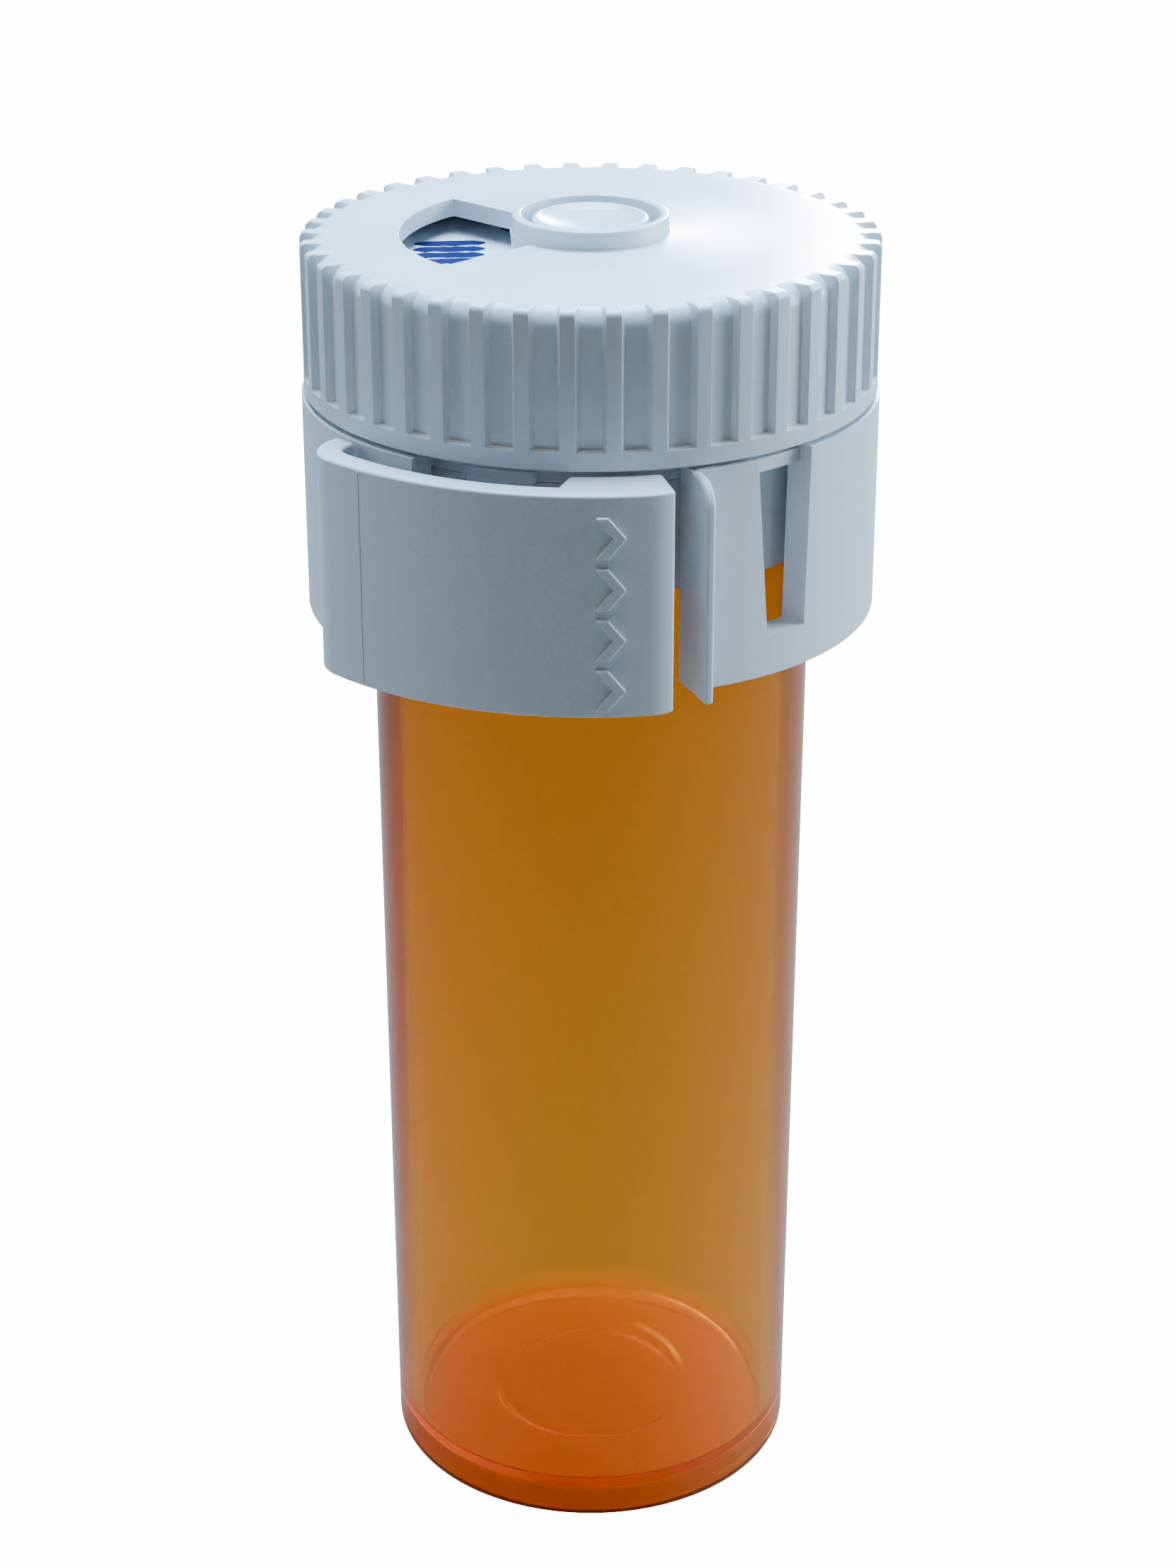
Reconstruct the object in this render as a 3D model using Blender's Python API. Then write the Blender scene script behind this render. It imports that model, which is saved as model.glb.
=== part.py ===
"""Prescription vial with a bayonet closure, a push lever and a turning day dial.

Metres, +Z up. The vial stands on z = 0 with its axis on Z, and the lever faces -Y.
Angles round the axis are in degrees from -Y towards +X. Heights in the closure are built down and
up from the vial's rim, and its radii outwards from the vial's wall.
"""

from math import ceil, cos, pi, radians, sin

import bmesh
import bpy
from mathutils import Matrix, Vector

MM = 0.001

# Fits
FIT_GAP = 0.30 * MM
RUNNING_GAP = 0.35 * MM
OVERCUT = 2.0 * MM
BITE = 0.6 * MM
ANGLE_BITE = 1.0

# Vial
VIAL_HEIGHT = 108.1 * MM
VIAL_RADIUS = 18.85 * MM
VIAL_DRAFT = 0.55 * MM
VIAL_WALL = 1.30 * MM
VIAL_FOOT_CORNER = 1.1 * MM
VIAL_FOOT_LAND = 0.7 * MM
VIAL_BASE_RECESS = 1.9 * MM
VIAL_FLOOR = 1.55 * MM
VIAL_GATE_RADIUS = 8.7 * MM
VIAL_GATE_RISE = 0.25 * MM
RIM_ROUND = 0.4 * MM

# Bayonet between vial and collar
LUG_COUNT = 4
LUG_WIDTH = 11.0
LUG_PHASE = 75.0
BAYONET_TURN = 25.0
ENTRY_WIDTH = 14.0
TRACK_RISE = 3.6 * MM
TRACK_HEIGHT = 3.4 * MM
COLLAR_HEIGHT = 9.2 * MM
COLLAR_WALL = 1.4 * MM

# Closure
SEAL_THICKNESS = 1.2 * MM
SEAL_WIDTH = 2.2 * MM
CEILING_THICKNESS = 1.5 * MM
DRUM_HEIGHT = 9.4 * MM
FLANGE_THICKNESS = 1.2 * MM
SKIRT_ROOM = 1.2 * MM
SKIRT_WALL = 2.4 * MM
SKIRT_HEIGHT = 18.4 * MM
SKIRT_START = 19.0
SKIRT_END = 324.5
BLOCK_START = -28.0
BLOCK_END = -11.3
BLOCK_THICKNESS = 0.95 * MM
BLOCK_DEPTH = 4.0 * MM
BLOCK_SKIN = 0.1 * MM
GAP_UNDERCUT = 0.8
SLOT_TOP = (33.0, 46.5)
SLOT_FOOT = (35.9, 45.6)
SLOT_LEDGE = 3.4 * MM
FIN_ANGLE = 19.9
FIN_THICKNESS = 0.8 * MM
FIN_REACH = 3.3 * MM
FIN_CORNER = 2.2 * MM

# Push lever
LEVER_ROOM = 2.3 * MM
LEVER_LEAF = 2.1 * MM
LEVER_CURL = 3.6 * MM
LEVER_ROOT = -46.5
LEVER_TIP = 13.4
LEVER_BEVEL_START = 10.9
LEVER_BEVEL = 0.45 * MM
PAD_START = -4.0
PAD_RAMP = 1.5
PAD_THICKNESS = 2.6 * MM
LEVER_EDGE = 0.25 * MM
MARK_COUNT = 4
MARK_ANGLE = 3.1
MARK_WIDTH = 2.4 * MM
MARK_HEIGHT = 3.4 * MM
MARK_RISE = 0.4 * MM
MARK_PITCH = 4.2 * MM
MARK_EDGE = 0.15 * MM
MARK_LEAN = 1.0 * MM
MARK_DROP = 0.5 * MM

# Day disc and dial
DISC_THICKNESS = 0.8 * MM
DISC_RIM = 0.9 * MM
DIAL_ROOM = 1.3 * MM
DIAL_WALL = 1.8 * MM
DIAL_PLATE = 1.5 * MM
DIAL_SHOULDER = 1.7 * MM
RIB_CORNER = 0.55 * MM
SHOULDER_STEPS = 5
DIAL_BAND = 1.5 * MM
RIB_COUNT = 42
RIB_SHARE = 0.34
RIB_FLANK = 0.08
GROOVE_DEPTH = 0.65 * MM
WINDOW_RIM = 8.2 * MM
WINDOW_HALF_ANGLE = 42.5
WINDOW_ANGLE = 270.0
BOSS_RADIUS = 6.5 * MM
BOSS_WALL = 0.75 * MM
BOSS_WEB = 1.3 * MM
BOSS_DROP = 1.1 * MM
BOSS_RISE = 1.55 * MM
NOTCH_COUNT = 7
NOTCH_RADIUS = 0.8 * MM
NOTCH_DEPTH = 0.4 * MM

# Pivot stud, its clip and the index spring
STUD_RADIUS = 2.4 * MM
STUD_HEAD_GAP = 0.9 * MM
STUD_HEAD = 2.25 * MM
STUD_DISH = 0.9 * MM
STUD_LIP = 0.7 * MM
STUD_GROOVE = 0.55 * MM
STUD_TAIL = 0.6 * MM
CLIP_RADIUS = 4.4 * MM
CLIP_THICKNESS = 1.0 * MM
CLIP_MOUTH = 36.0
SPRING_THICKNESS = 0.5 * MM
SPRING_HEIGHT = 4.0 * MM
SPRING_LIFT = 2.0 * MM
SPRING_SPAN = (150.0, 210.0)
SPRING_NOSE = 2.0

# Heights and radii that follow
SEAL_BOTTOM = VIAL_HEIGHT + FIT_GAP
SEAL_TOP = SEAL_BOTTOM + SEAL_THICKNESS
CEILING_BOTTOM = SEAL_TOP + FIT_GAP
CEILING_TOP = CEILING_BOTTOM + CEILING_THICKNESS
FLANGE_TOP = CEILING_TOP - DRUM_HEIGHT
FLANGE_BOTTOM = FLANGE_TOP - FLANGE_THICKNESS
SKIRT_TOP = FLANGE_TOP + FIT_GAP
SKIRT_BOTTOM = SKIRT_TOP - SKIRT_HEIGHT
COLLAR_TOP = FLANGE_BOTTOM - FIT_GAP
COLLAR_BOTTOM = COLLAR_TOP - COLLAR_HEIGHT
TRACK_BOTTOM = COLLAR_BOTTOM + TRACK_RISE
TRACK_TOP = TRACK_BOTTOM + TRACK_HEIGHT
DISC_BOTTOM = CEILING_TOP + FIT_GAP
DISC_TOP = DISC_BOTTOM + DISC_THICKNESS
BOSS_BOTTOM = DISC_TOP + FIT_GAP
WEB_TOP = BOSS_BOTTOM + BOSS_WEB
PLATE_BOTTOM = BOSS_BOTTOM + BOSS_DROP
PLATE_TOP = PLATE_BOTTOM + DIAL_PLATE
BOSS_TOP = PLATE_TOP + BOSS_RISE
DIAL_BOTTOM = SKIRT_TOP + FIT_GAP
HEAD_BOTTOM = WEB_TOP + FIT_GAP
HEAD_TOP = HEAD_BOTTOM + STUD_HEAD
CLIP_TOP = CEILING_BOTTOM - FIT_GAP
CLIP_BOTTOM = CLIP_TOP - CLIP_THICKNESS

COLLAR_INNER = VIAL_RADIUS + RUNNING_GAP
COLLAR_OUTER = COLLAR_INNER + COLLAR_WALL
LUG_RADIUS = COLLAR_OUTER - FIT_GAP
DRUM_OUTER = COLLAR_OUTER + FIT_GAP
DRUM_INNER = COLLAR_INNER
SKIRT_INNER = COLLAR_OUTER + SKIRT_ROOM
SKIRT_OUTER = SKIRT_INNER + SKIRT_WALL
DIAL_INNER = DRUM_OUTER + DIAL_ROOM
DIAL_OUTER = DIAL_INNER + DIAL_WALL
WINDOW_OUTER = DIAL_OUTER - WINDOW_RIM
LEVER_INNER = SKIRT_OUTER + LEVER_ROOM
LEVER_OUTER = LEVER_INNER + LEVER_LEAF
LEVER_FOOT = SKIRT_OUTER + FIT_GAP
PAD_INNER = LEVER_INNER - PAD_THICKNESS
SHANK_HOLE = STUD_RADIUS + FIT_GAP
HEAD_RADIUS = BOSS_RADIUS - BOSS_WALL - STUD_HEAD_GAP

ROUND_STEPS = 72
SMALL_STEPS = 32
ARC_STEP = 5.0
CLIP_STEP = 12.0
NOTCH_STEPS = 12
SLOT_POINTS = 4


def polar(radius, angle):
    """The point at a radius and an angle in degrees from -Y towards +X."""
    return Vector((radius * sin(radians(angle)), -radius * cos(radians(angle))))


def arc(radius, start, end, step=ARC_STEP):
    """Points along an arc round the axis, both ends included."""
    count = max(1, ceil(abs(end - start) / step))
    return [polar(radius, start + (end - start) * i / count) for i in range(count + 1)]


def material(name, colour, roughness, metallic=0.0):
    """A plain shaded material."""
    finish = bpy.data.materials.new(name)
    finish.use_nodes = True
    shader = finish.node_tree.nodes["Principled BSDF"]
    shader.inputs["Base Color"].default_value = (*colour, 1.0)
    shader.inputs["Roughness"].default_value = roughness
    shader.inputs["Metallic"].default_value = metallic
    return finish


def add_object(name, bm, finish=None, sharp=30.0):
    """Turn a bmesh into an object, outward faces first."""
    bmesh.ops.recalc_face_normals(bm, faces=bm.faces)
    mesh = bpy.data.meshes.new(name)
    bm.to_mesh(mesh)
    bm.free()
    mesh.shade_smooth()
    mesh.set_sharp_from_angle(angle=radians(sharp))
    obj = bpy.data.objects.new(name, mesh)
    bpy.context.scene.collection.objects.link(obj)
    if finish:
        mesh.materials.append(finish)
    return obj


def loft(bm, lower, upper, bottom, top):
    """A closed solid between two outlines of the same number of points."""
    low = [bm.verts.new((*p, bottom)) for p in lower]
    high = [bm.verts.new((*p, top)) for p in upper]
    bm.faces.new(low)
    bm.faces.new(high)
    for i, corner in enumerate(low):
        j = (i + 1) % len(low)
        bm.faces.new((corner, low[j], high[j], high[i]))


def wedge(bm, inner, outer, start, end, bottom, top):
    """A block between two radii, two angles and two heights."""
    outline = arc(outer, start, end) + arc(inner, end, start)
    loft(bm, outline, outline, bottom, top)


def revolve(name, profile, steps, finish=None):
    """Spin a closed (radius, height) profile a full turn round the axis."""
    bm = bmesh.new()
    verts = [bm.verts.new((r, 0.0, z)) for r, z in profile]
    edges = [bm.edges.new((a, b)) for a, b in zip(verts, verts[1:])]
    if profile[0][0] > 0.0:
        edges.append(bm.edges.new((verts[-1], verts[0])))
    bmesh.ops.spin(
        bm, geom=verts + edges, cent=(0, 0, 0), axis=(0, 0, 1), angle=2 * pi, steps=steps, use_merge=True
    )
    bmesh.ops.remove_doubles(bm, verts=bm.verts, dist=0.001 * MM)
    return add_object(name, bm, finish)


def combine(obj, bm, operation, name):
    """Join a solid to an object or cut it away, keeping it as a hidden tool."""
    tool = add_object(name, bm)
    tool.hide_render = True
    tool.display_type = "WIRE"
    step = obj.modifiers.new(name, "BOOLEAN")
    step.operation = operation
    step.solver = "EXACT"
    step.object = tool
    return tool


def round_edges(obj, width, segments, angle):
    """Ease an object's sharp edges."""
    step = obj.modifiers.new("eased edges", "BEVEL")
    step.width = width
    step.segments = segments
    step.limit_method = "ANGLE"
    step.angle_limit = radians(angle)


def corner(radius, height, size, start, end, steps=4):
    """Profile points round a corner centred at a radius and a height."""
    turn = [radians(start + (end - start) * i / steps) for i in range(steps + 1)]
    return [(radius + size * cos(a), height + size * sin(a)) for a in turn]


def build_vial(finish):
    """The vial's body: foot ring, recessed base, tapered wall, rounded rim and bayonet lugs."""
    foot = VIAL_RADIUS - VIAL_DRAFT
    inside = foot - VIAL_WALL
    floor = VIAL_BASE_RECESS + VIAL_FLOOR
    land = foot - VIAL_FOOT_CORNER - VIAL_FOOT_LAND
    rim = VIAL_HEIGHT - RIM_ROUND
    fillet = VIAL_WALL / 2
    profile = [
        (0.0, VIAL_BASE_RECESS),
        (land - VIAL_FOOT_LAND, VIAL_BASE_RECESS),
        (land, 0.0),
        *corner(foot - VIAL_FOOT_CORNER, VIAL_FOOT_CORNER, VIAL_FOOT_CORNER, -90, 0),
        *corner(VIAL_RADIUS - RIM_ROUND, rim, RIM_ROUND, 0, 90, 2),
        *corner(VIAL_RADIUS - VIAL_WALL + RIM_ROUND, rim, RIM_ROUND, 90, 180, 2),
        *corner(inside - fillet, floor + fillet, fillet, 0, -90, 3),
        (VIAL_GATE_RADIUS, floor),
        (VIAL_GATE_RADIUS - VIAL_GATE_RISE, floor + VIAL_GATE_RISE),
        (0.0, floor + VIAL_GATE_RISE),
    ]
    vial = revolve("vial_body", profile, ROUND_STEPS, finish)
    lugs = bmesh.new()
    for i in range(LUG_COUNT):
        middle = LUG_PHASE + 360.0 * i / LUG_COUNT
        low = TRACK_BOTTOM + FIT_GAP
        high = TRACK_TOP - FIT_GAP
        inner = VIAL_RADIUS - VIAL_WALL / 2
        wedge(lugs, inner, LUG_RADIUS, middle - LUG_WIDTH / 2, middle + LUG_WIDTH / 2, low, high)
    combine(vial, lugs, "UNION", "lugs")
    return vial


def build_seal(finish):
    """The flat ring that seals the rim."""
    inner = VIAL_RADIUS - SEAL_WIDTH
    profile = [
        (inner, SEAL_BOTTOM),
        (VIAL_RADIUS, SEAL_BOTTOM),
        (VIAL_RADIUS, SEAL_TOP),
        (inner, SEAL_TOP),
    ]
    return revolve("seal_ring", profile, ROUND_STEPS, finish)


def build_collar(finish):
    """The inner collar, with an entry slot and a locking track for each lug."""
    profile = [
        (COLLAR_INNER, COLLAR_BOTTOM),
        (COLLAR_OUTER, COLLAR_BOTTOM),
        (COLLAR_OUTER, COLLAR_TOP),
        (COLLAR_INNER, COLLAR_TOP),
    ]
    collar = revolve("bayonet_collar", profile, ROUND_STEPS, finish)
    entries = bmesh.new()
    tracks = bmesh.new()
    inner = COLLAR_INNER - OVERCUT
    outer = COLLAR_OUTER + OVERCUT
    for i in range(LUG_COUNT):
        start = LUG_PHASE + 360.0 * i / LUG_COUNT - ENTRY_WIDTH / 2
        end = start + ENTRY_WIDTH
        wedge(entries, inner, outer, start, end, COLLAR_BOTTOM - OVERCUT, TRACK_TOP)
        wedge(tracks, inner, outer, end - ANGLE_BITE, end + BAYONET_TURN, TRACK_BOTTOM, TRACK_TOP)
    combine(collar, entries, "DIFFERENCE", "entry_slots")
    combine(collar, tracks, "DIFFERENCE", "lock_tracks")
    return collar


def build_skirt(finish):
    """The outer closure: ceiling, drum and flange, with the skirt's wall, block, fin and slot."""
    flange = SKIRT_INNER + SKIRT_WALL / 2
    profile = [
        (SHANK_HOLE, CEILING_BOTTOM),
        (DRUM_INNER, CEILING_BOTTOM),
        (DRUM_INNER, FLANGE_BOTTOM),
        (flange, FLANGE_BOTTOM),
        (flange, FLANGE_TOP),
        (DRUM_OUTER, FLANGE_TOP),
        (DRUM_OUTER, CEILING_TOP),
        (SHANK_HOLE, CEILING_TOP),
    ]
    skirt = revolve("closure_skirt", profile, ROUND_STEPS, finish)
    block_outer = DRUM_OUTER + BLOCK_THICKNESS
    gaps = bmesh.new()
    cut_end = FLANGE_TOP + BITE
    lever_side = SKIRT_END - 360.0 - GAP_UNDERCUT
    deep = DRUM_OUTER - BLOCK_SKIN
    wide = SKIRT_OUTER + OVERCUT
    wedge(gaps, deep, wide, lever_side, BLOCK_START, FLANGE_BOTTOM - OVERCUT, cut_end)
    wedge(gaps, deep, wide, BLOCK_END, SKIRT_START + GAP_UNDERCUT, FLANGE_BOTTOM - OVERCUT, cut_end)
    combine(skirt, gaps, "DIFFERENCE", "lever_gaps")
    front = bmesh.new()
    start = BLOCK_START - ANGLE_BITE
    end = BLOCK_END + ANGLE_BITE
    wedge(front, block_outer, wide, start, end, FLANGE_BOTTOM - OVERCUT, cut_end)
    combine(skirt, front, "DIFFERENCE", "block_front")

    wall = bmesh.new()
    wedge(wall, SKIRT_INNER, SKIRT_OUTER, SKIRT_START, SKIRT_END, SKIRT_BOTTOM, SKIRT_TOP)
    combine(skirt, wall, "UNION", "skirt_wall")
    block = bmesh.new()
    low = FLANGE_BOTTOM - BLOCK_DEPTH
    start = BLOCK_START + ANGLE_BITE
    end = BLOCK_END - ANGLE_BITE
    face = block_outer - BLOCK_SKIN
    wedge(block, DRUM_OUTER + BLOCK_SKIN, face, start, end, low, FLANGE_TOP - FIT_GAP)
    combine(skirt, block, "UNION", "collar_block")
    combine(skirt, build_fin(), "UNION", "end_fin")

    slot = bmesh.new()
    ledge = SKIRT_BOTTOM + SLOT_LEDGE
    deep = DRUM_OUTER + FIT_GAP
    lower = slot_outline(SLOT_FOOT, deep, wide)
    upper = slot_outline(SLOT_TOP, deep, wide)
    loft(slot, lower, upper, ledge, SKIRT_TOP + FIT_GAP)
    combine(skirt, slot, "DIFFERENCE", "finger_slot")
    return skirt


def slot_outline(ends, inner, outer):
    """A curved slot's outline between two angles, always with the same number of points."""
    step = (ends[1] - ends[0]) / (SLOT_POINTS - 1)
    angles = [ends[0] + step * i for i in range(SLOT_POINTS)]
    return [polar(outer, a) for a in angles] + [polar(inner, a) for a in reversed(angles)]


def build_fin():
    """The radial fin at the skirt's free end, with a rounded upper corner."""
    reach = SKIRT_OUTER + FIN_REACH
    outline = [
        (SKIRT_INNER + BITE, SKIRT_BOTTOM + BITE / 2),
        (SKIRT_OUTER + BITE, SKIRT_BOTTOM),
        (reach, SKIRT_BOTTOM),
        *corner(reach - FIN_CORNER, SKIRT_TOP - FIN_CORNER, FIN_CORNER, 0, 90),
        (SKIRT_INNER + BITE, SKIRT_TOP - BITE / 2),
    ]
    bm = bmesh.new()
    sides = []
    for offset in (-FIN_THICKNESS / 2, FIN_THICKNESS / 2):
        turn = Matrix.Rotation(radians(FIN_ANGLE) - pi / 2, 4, "Z")
        sides.append([bm.verts.new(turn @ Vector((r, offset, z))) for r, z in outline])
    bm.faces.new(sides[0])
    bm.faces.new(sides[1])
    for i in range(len(outline)):
        j = (i + 1) % len(outline)
        bm.faces.new((sides[0][i], sides[0][j], sides[1][j], sides[1][i]))
    return bm


def lever_outline():
    """The lever in plan: leaf, thick pad, chamfered tip and a root that curls in to the skirt."""
    middle = polar(LEVER_OUTER - LEVER_CURL, LEVER_ROOT)
    outward = radians(LEVER_ROOT - 90.0)

    def curl(size, start, end, steps):
        turn = [outward + radians(start + (end - start) * i / steps) for i in range(steps + 1)]
        return [middle + Vector((size * cos(a), size * sin(a))) for a in turn]

    outer_curl = curl(LEVER_CURL, -90.0, 0.0, 6)
    inner_curl = curl(LEVER_CURL - LEVER_LEAF, 0.0, -90.0, 4)
    foot_drop = polar(1.0, LEVER_ROOT) * (LEVER_OUTER - LEVER_CURL - LEVER_FOOT)
    outline = [outer_curl[0] - foot_drop]
    outline += outer_curl
    outline += arc(LEVER_OUTER, LEVER_ROOT, LEVER_BEVEL_START)[1:]
    outline.append(polar(LEVER_OUTER - LEVER_BEVEL, LEVER_TIP))
    outline += arc(PAD_INNER, LEVER_TIP, PAD_START)
    outline += arc(LEVER_INNER, PAD_START - PAD_RAMP, LEVER_ROOT)
    outline += inner_curl[1:]
    outline.append(inner_curl[-1] - foot_drop)
    return outline


def lever_hinge():
    """The point in plan where the lever's root flexes."""
    outline = lever_outline()
    middle = (outline[0] + outline[-1]) / 2
    return Vector((middle.x, middle.y, 0.0))


def build_lever(finish):
    """The push lever with its column of raised chevrons, its origin on the hinge line."""
    bm = bmesh.new()
    outline = lever_outline()
    loft(bm, outline, outline, SKIRT_BOTTOM, SKIRT_TOP)
    lever = add_object("push_lever", bm, finish)
    round_edges(lever, LEVER_EDGE, 1, 50)
    marks = bmesh.new()
    middle = (SKIRT_TOP + SKIRT_BOTTOM) / 2 - MARK_DROP
    for i in range(MARK_COUNT):
        chevron(marks, middle + (i - (MARK_COUNT - 1) / 2) * MARK_PITCH)
    combine(lever, marks, "UNION", "lever_marks")
    hinge = lever_hinge()
    for obj in [lever] + [m.object for m in lever.modifiers if m.type == "BOOLEAN"]:
        obj.data.transform(Matrix.Translation(-hinge))
        obj.location = hinge
    return lever


def chevron(bm, height):
    """One raised chevron on the lever's face, pointing at the lever's free end."""
    half = MARK_HEIGHT / 2
    left = -MARK_WIDTH / 2
    right = MARK_WIDTH / 2
    outline = [
        (left, -half),
        (left + MARK_LEAN, -half),
        (right, 0.0),
        (left + MARK_LEAN, half),
        (left, half),
        (right - MARK_LEAN, 0.0),
    ]
    turn = Matrix.Rotation(radians(MARK_ANGLE), 4, "Z")
    rows = []
    for depth, inset in ((LEVER_OUTER - BITE, 0.0), (LEVER_OUTER + MARK_RISE, MARK_EDGE)):
        keep = 1.0 - inset / half
        points = [Vector((u * keep, -depth, height + v * keep)) for u, v in outline]
        rows.append([bm.verts.new(turn @ p) for p in points])
    bm.faces.new(rows[0])
    bm.faces.new(rows[1])
    for i in range(len(outline)):
        j = (i + 1) % len(outline)
        bm.faces.new((rows[0][i], rows[0][j], rows[1][j], rows[1][i]))


def build_disc(finish):
    """The printed day disc that the dial turns over."""
    outer = DRUM_OUTER - DISC_RIM
    profile = [
        (SHANK_HOLE, DISC_BOTTOM),
        (outer, DISC_BOTTOM),
        (outer, DISC_TOP),
        (SHANK_HOLE, DISC_TOP),
    ]
    return revolve("day_disc", profile, ROUND_STEPS, finish)


def dial_profile():
    """The dial's section as pairs of (radius, height), on a rib and in a groove."""
    boss_inner = BOSS_RADIUS - BOSS_WALL
    deep = DIAL_OUTER - GROOVE_DEPTH
    band_top = DIAL_BOTTOM + DIAL_BAND
    below = [(DIAL_INNER, DIAL_BOTTOM), (DIAL_OUTER, DIAL_BOTTOM), (DIAL_OUTER, band_top)]
    foot = band_top + FIT_GAP / 2
    rib_top = corner(DIAL_OUTER - RIB_CORNER, PLATE_TOP - RIB_CORNER, RIB_CORNER, 0, 90, SHOULDER_STEPS - 1)
    ribs = [(DIAL_OUTER, foot), *rib_top, (deep - DIAL_SHOULDER, PLATE_TOP)]
    scoop = corner(deep - DIAL_SHOULDER, PLATE_TOP - DIAL_SHOULDER, DIAL_SHOULDER, 0, 90, SHOULDER_STEPS)
    grooves = [(deep, foot), *scoop]
    inside = [
        (BOSS_RADIUS, PLATE_TOP),
        (BOSS_RADIUS, BOSS_TOP),
        (boss_inner, BOSS_TOP),
        (boss_inner, WEB_TOP),
        (SHANK_HOLE, WEB_TOP),
        (SHANK_HOLE, BOSS_BOTTOM),
        (BOSS_RADIUS, BOSS_BOTTOM),
        (BOSS_RADIUS, PLATE_BOTTOM),
        (DIAL_INNER, PLATE_BOTTOM),
    ]
    return list(zip(below + ribs + inside, below + grooves + inside))


def rib_angles():
    """Angles round the dial, each with whether it is in a groove, four to each rib."""
    pitch = 360.0 / RIB_COUNT
    half_rib = RIB_SHARE * pitch / 2
    flank = RIB_FLANK * pitch
    samples = []
    for i in range(RIB_COUNT):
        middle = (i + 0.5) * pitch
        samples += [
            (middle - half_rib - flank, True),
            (middle - half_rib, False),
            (middle + half_rib, False),
            (middle + half_rib + flank, True),
        ]
    return samples


def build_dial(finish):
    """The ribbed day dial with its window, pivot boss and seven index notches."""
    bm = bmesh.new()
    angles = rib_angles()
    rings = []
    for section in dial_profile():
        ring = [(angle, section[in_groove]) for angle, in_groove in angles]
        rings.append([bm.verts.new((*polar(radius, angle), height)) for angle, (radius, height) in ring])
    for ring, following in zip(rings, rings[1:] + rings[:1]):
        for i, vert in enumerate(ring):
            j = (i + 1) % len(ring)
            bm.faces.new((vert, ring[j], following[j], following[i]))
    dial = add_object("day_dial", bm, finish)
    window = bmesh.new()
    start = WINDOW_ANGLE - WINDOW_HALF_ANGLE
    end = WINDOW_ANGLE + WINDOW_HALF_ANGLE
    low = PLATE_BOTTOM - BOSS_DROP / 2
    wedge(window, BOSS_RADIUS, WINDOW_OUTER, start, end, low, PLATE_TOP + BOSS_RISE / 2)
    combine(dial, window, "DIFFERENCE", "day_window")
    notches = bmesh.new()
    for i in range(NOTCH_COUNT):
        place = polar(DIAL_INNER - NOTCH_RADIUS + NOTCH_DEPTH, 180.0 + 360.0 * i / NOTCH_COUNT)
        low = DIAL_BOTTOM + SPRING_LIFT - FIT_GAP
        high = low + SPRING_HEIGHT + 2 * FIT_GAP
        outline = [place + polar(NOTCH_RADIUS, 360.0 * k / NOTCH_STEPS) for k in range(NOTCH_STEPS)]
        loft(notches, outline, outline, low, high)
    combine(dial, notches, "DIFFERENCE", "index_notches")
    return dial


def build_stud(finish):
    """The pivot stud: dished head, shank, clip groove and tail."""
    groove = STUD_RADIUS - STUD_GROOVE
    dish = HEAD_RADIUS - STUD_LIP
    profile = [
        (0.0, CLIP_BOTTOM - FIT_GAP - STUD_TAIL),
        (groove, CLIP_BOTTOM - FIT_GAP - STUD_TAIL),
        (STUD_RADIUS, CLIP_BOTTOM - FIT_GAP - STUD_TAIL / 2),
        (STUD_RADIUS, CLIP_BOTTOM - FIT_GAP),
        (groove, CLIP_BOTTOM - FIT_GAP),
        (groove, CLIP_TOP + FIT_GAP),
        (STUD_RADIUS, CLIP_TOP + FIT_GAP),
        (STUD_RADIUS, HEAD_BOTTOM),
        (HEAD_RADIUS, HEAD_BOTTOM),
        (HEAD_RADIUS, HEAD_TOP - STUD_LIP / 2),
        (HEAD_RADIUS - STUD_LIP / 2, HEAD_TOP),
        (dish, HEAD_TOP - STUD_LIP / 4),
        (dish * 0.6, HEAD_TOP - STUD_DISH * 0.75),
        (0.0, HEAD_TOP - STUD_DISH),
    ]
    return revolve("pivot_stud", profile, SMALL_STEPS, finish)


def build_clip(finish):
    """The split clip that holds the stud under the ceiling."""
    bm = bmesh.new()
    inner = STUD_RADIUS - STUD_GROOVE + FIT_GAP
    outline = arc(CLIP_RADIUS, CLIP_MOUTH / 2, 360.0 - CLIP_MOUTH / 2, CLIP_STEP)
    outline += arc(inner, 360.0 - CLIP_MOUTH / 2, CLIP_MOUTH / 2, CLIP_STEP)
    loft(bm, outline, outline, CLIP_BOTTOM, CLIP_TOP)
    return add_object("stud_clip", bm, finish)


def build_spring(finish):
    """The index spring: a curved leaf on the drum with a nose in the middle."""
    inner = DRUM_OUTER + FIT_GAP
    outer = inner + SPRING_THICKNESS
    middle = (SPRING_SPAN[0] + SPRING_SPAN[1]) / 2
    outline = arc(outer, SPRING_SPAN[0], middle - SPRING_NOSE)
    outline.append(polar(DIAL_INNER - FIT_GAP, middle))
    outline += arc(outer, middle + SPRING_NOSE, SPRING_SPAN[1])
    outline += arc(inner, SPRING_SPAN[1], SPRING_SPAN[0])
    bm = bmesh.new()
    low = DIAL_BOTTOM + SPRING_LIFT
    loft(bm, outline, outline, low, low + SPRING_HEIGHT)
    return add_object("index_spring", bm, finish)


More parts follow.
